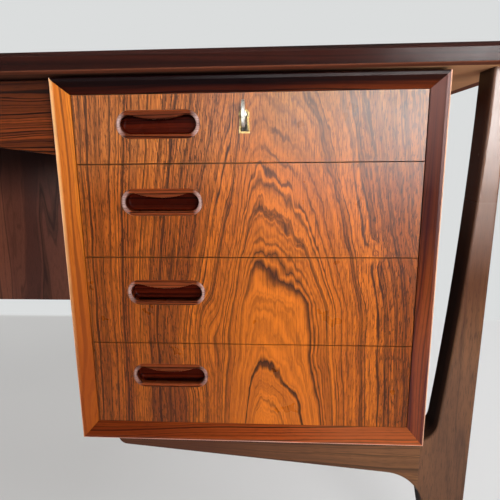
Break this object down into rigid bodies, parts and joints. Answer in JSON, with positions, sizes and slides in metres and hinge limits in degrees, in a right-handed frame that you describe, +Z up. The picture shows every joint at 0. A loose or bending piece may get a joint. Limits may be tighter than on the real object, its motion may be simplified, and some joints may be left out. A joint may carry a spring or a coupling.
{
  "type": "executive desk",
  "caption": "Twin-pedestal rosewood desk with a thin floating top, figured inset drawers with cup pulls, an arched apron, a locking drawer and shaped legs with arms under the pedestals.",
  "frame": {"origin": "on the floor, under the middle of the top", "axes": "+X along the desk to the sitter's right, +Y away from the sitter, towards the back, +Z up"},
  "size_m": [1.72, 0.708, 0.725],
  "materials": {
    "rosewood_front": "oiled satin veneer, figured, grain upright",
    "rosewood_pull": "oiled satin solid, grain along the pull",
    "rosewood_frame": "oiled satin solid, grain along each member",
    "rosewood_lipping": "oiled satin solid, dark",
    "rosewood_top": "oiled satin veneer, grain along the desk",
    "rosewood_case": "oiled satin veneer",
    "leg_wood": "oiled satin solid, grey brown",
    "drawer_oak": "pale lacquered, straight grain",
    "beech": "bare",
    "brass": "polished, lightly aged",
    "steel": "nickel plated, worn",
    "glide_plastic": "moulded"
  },
  "bodies": {
    "desk": {"top_lipping_long": "rosewood_lipping", "top_lipping_ends": "rosewood_lipping", "leg_front_right": "leg_wood", "arm_front_right": "leg_wood", "leg_front_left": "leg_wood", "arm_front_left": "leg_wood", "leg_rear_right": "leg_wood", "arm_rear_right": "leg_wood", "leg_rear_left": "leg_wood", "arm_rear_left": "leg_wood", "foot_glides": "glide_plastic", "joint_dowels": "beech", "apron": "rosewood_case", "modesty_panel": "rosewood_case", "top_spacers": "beech", "wood_screws": "steel", "top_core": "rosewood_top", "right_outer_side": "rosewood_case", "left_outer_side": "rosewood_case", "right_inner_side": "rosewood_case", "left_inner_side": "rosewood_case", "right_bottom_board": "rosewood_case", "left_bottom_board": "rosewood_case", "right_back_panel": "rosewood_case", "left_back_panel": "rosewood_case", "right_top_board": "rosewood_case", "left_top_board": "rosewood_case", "right_frame_rails": "rosewood_frame", "left_frame_rails": "rosewood_frame", "right_frame_stiles": "rosewood_frame", "left_frame_stiles": "rosewood_frame", "drawer_runners": "drawer_oak"},
    "right_drawer_1": {"right_drawer_1_front": "rosewood_front", "right_drawer_1_pull": "rosewood_pull", "right_drawer_1_box": "drawer_oak", "escutcheon": "brass", "lock_case": "steel"},
    "right_drawer_2": {"right_drawer_2_front": "rosewood_front", "right_drawer_2_pull": "rosewood_pull", "right_drawer_2_box": "drawer_oak"},
    "right_drawer_3": {"right_drawer_3_front": "rosewood_front", "right_drawer_3_pull": "rosewood_pull", "right_drawer_3_box": "drawer_oak"},
    "right_drawer_4": {"right_drawer_4_front": "rosewood_front", "right_drawer_4_pull": "rosewood_pull", "right_drawer_4_box": "drawer_oak"},
    "left_drawer_1": {"left_drawer_1_front": "rosewood_front", "left_drawer_1_pull": "rosewood_pull", "left_drawer_1_box": "drawer_oak"},
    "left_drawer_2": {"left_drawer_2_front": "rosewood_front", "left_drawer_2_pull": "rosewood_pull", "left_drawer_2_box": "drawer_oak"},
    "left_drawer_3": {"left_drawer_3_front": "rosewood_front", "left_drawer_3_pull": "rosewood_pull", "left_drawer_3_box": "drawer_oak"},
    "left_drawer_4": {"left_drawer_4_front": "rosewood_front", "left_drawer_4_pull": "rosewood_pull", "left_drawer_4_box": "drawer_oak"},
    "key": {"lock_key": "steel"},
    "bolt": {"lock_bolt": "steel"}
  },
  "joints": [
    {"name": "right_drawer_1_slide", "type": "slide", "parent": "desk", "child": "right_drawer_1", "axis": [0, -1, 0], "range_m": [0, 0.4]},
    {"name": "right_drawer_2_slide", "type": "slide", "parent": "desk", "child": "right_drawer_2", "axis": [0, -1, 0], "range_m": [0, 0.4]},
    {"name": "right_drawer_3_slide", "type": "slide", "parent": "desk", "child": "right_drawer_3", "axis": [0, -1, 0], "range_m": [0, 0.4]},
    {"name": "right_drawer_4_slide", "type": "slide", "parent": "desk", "child": "right_drawer_4", "axis": [0, -1, 0], "range_m": [0, 0.4]},
    {"name": "left_drawer_1_slide", "type": "slide", "parent": "desk", "child": "left_drawer_1", "axis": [0, -1, 0], "range_m": [0, 0.4]},
    {"name": "left_drawer_2_slide", "type": "slide", "parent": "desk", "child": "left_drawer_2", "axis": [0, -1, 0], "range_m": [0, 0.4]},
    {"name": "left_drawer_3_slide", "type": "slide", "parent": "desk", "child": "left_drawer_3", "axis": [0, -1, 0], "range_m": [0, 0.4]},
    {"name": "left_drawer_4_slide", "type": "slide", "parent": "desk", "child": "left_drawer_4", "axis": [0, -1, 0], "range_m": [0, 0.4]},
    {"name": "key_turn", "type": "hinge", "parent": "right_drawer_1", "child": "key", "pos_m": [0.5325, -0.317, 0.66], "axis": [0, 1, 0], "range_deg": [0, 180]},
    {"name": "bolt_slide", "type": "slide", "parent": "right_drawer_1", "child": "bolt", "axis": [0, 0, 1], "range_m": [0, 0.008]}
  ],
  "couplings": [
    {"joint": "bolt_slide", "follows": "key_turn", "m_per_rad": 0.0025464}
  ]
}
